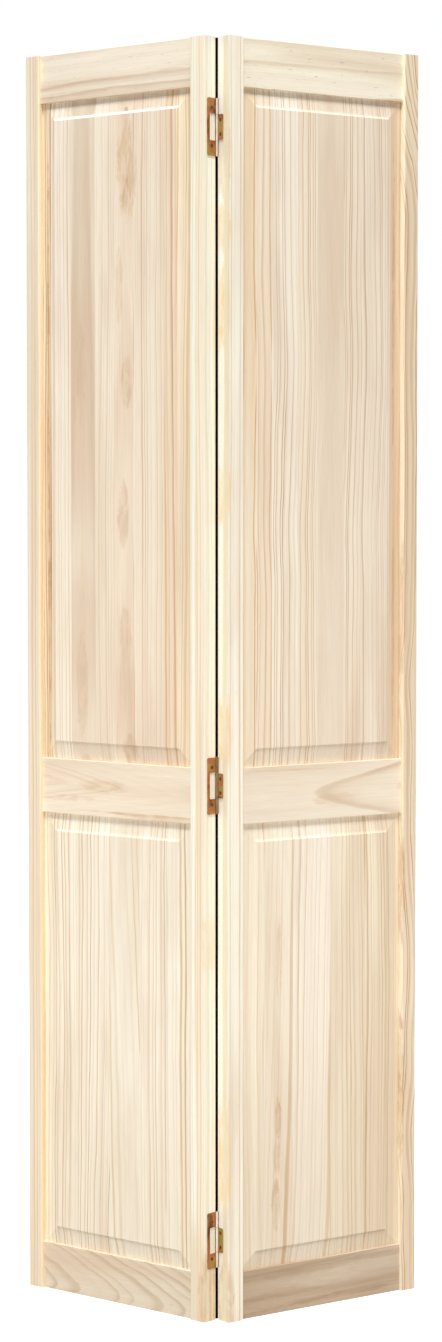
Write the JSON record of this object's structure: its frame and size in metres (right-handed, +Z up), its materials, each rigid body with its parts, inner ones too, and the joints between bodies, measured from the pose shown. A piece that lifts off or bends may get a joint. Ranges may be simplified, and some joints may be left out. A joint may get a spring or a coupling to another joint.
{
  "type": "bifold closet door",
  "caption": "Two-leaf bifold closet door in unfinished pine: doweled stile-and-rail leaves with raised panels, joined by window hinges and shown part folded.",
  "frame": {"origin": "centre of the part-folded door's bounding box, at the floor that the leaves' bottom edges stand on", "axes": "+Z up along the leaves and the hinge pins; X across the doorway, with the fixed (left) leaf on -X and the swinging leaf on +X; the hinged edges point to -Y and the leaves run back towards +Y"},
  "size_m": [0.6326, 0.2476, 2.0066],
  "materials": {
    "pine_frame": "unfinished, planed and sanded clear pine",
    "pine_panel": "unfinished edge-glued clear pine, moulded and sanded",
    "dowel_wood": "unfinished hardwood dowel",
    "yellow_zinc": "iridescent yellow zinc plate on pressed steel",
    "pin_steel": "plated steel wire",
    "screw_zinc": "yellow zinc plated steel screw"
  },
  "bodies": {
    "left_leaf": {"left_hinge_stile": "pine_frame", "left_outer_stile": "pine_frame", "left_top_rail": "pine_frame", "left_top_rail_dowels": "dowel_wood", "left_middle_rail": "pine_frame", "left_middle_rail_dowels": "dowel_wood", "left_bottom_rail": "pine_frame", "left_bottom_rail_dowels": "dowel_wood", "left_upper_panel": "pine_panel", "left_lower_panel": "pine_panel", "top_hinge_outer_leaf": "yellow_zinc", "top_hinge_pin": "pin_steel", "top_hinge_left_screws": "screw_zinc", "middle_hinge_outer_leaf": "yellow_zinc", "middle_hinge_pin": "pin_steel", "middle_hinge_left_screws": "screw_zinc", "bottom_hinge_outer_leaf": "yellow_zinc", "bottom_hinge_pin": "pin_steel", "bottom_hinge_left_screws": "screw_zinc"},
    "right_leaf": {"right_hinge_stile": "pine_frame", "right_outer_stile": "pine_frame", "right_top_rail": "pine_frame", "right_top_rail_dowels": "dowel_wood", "right_middle_rail": "pine_frame", "right_middle_rail_dowels": "dowel_wood", "right_bottom_rail": "pine_frame", "right_bottom_rail_dowels": "dowel_wood", "right_upper_panel": "pine_panel", "right_lower_panel": "pine_panel", "top_hinge_inner_leaf": "yellow_zinc", "top_hinge_right_screws": "screw_zinc", "middle_hinge_inner_leaf": "yellow_zinc", "middle_hinge_right_screws": "screw_zinc", "bottom_hinge_inner_leaf": "yellow_zinc", "bottom_hinge_right_screws": "screw_zinc"}
  },
  "joints": [
    {"name": "fold", "type": "hinge", "parent": "left_leaf", "child": "right_leaf", "pos_m": [0, -0.10157, 1.0033], "axis": [0, 0, 1], "range_deg": [-74.5, 105.5]}
  ]
}
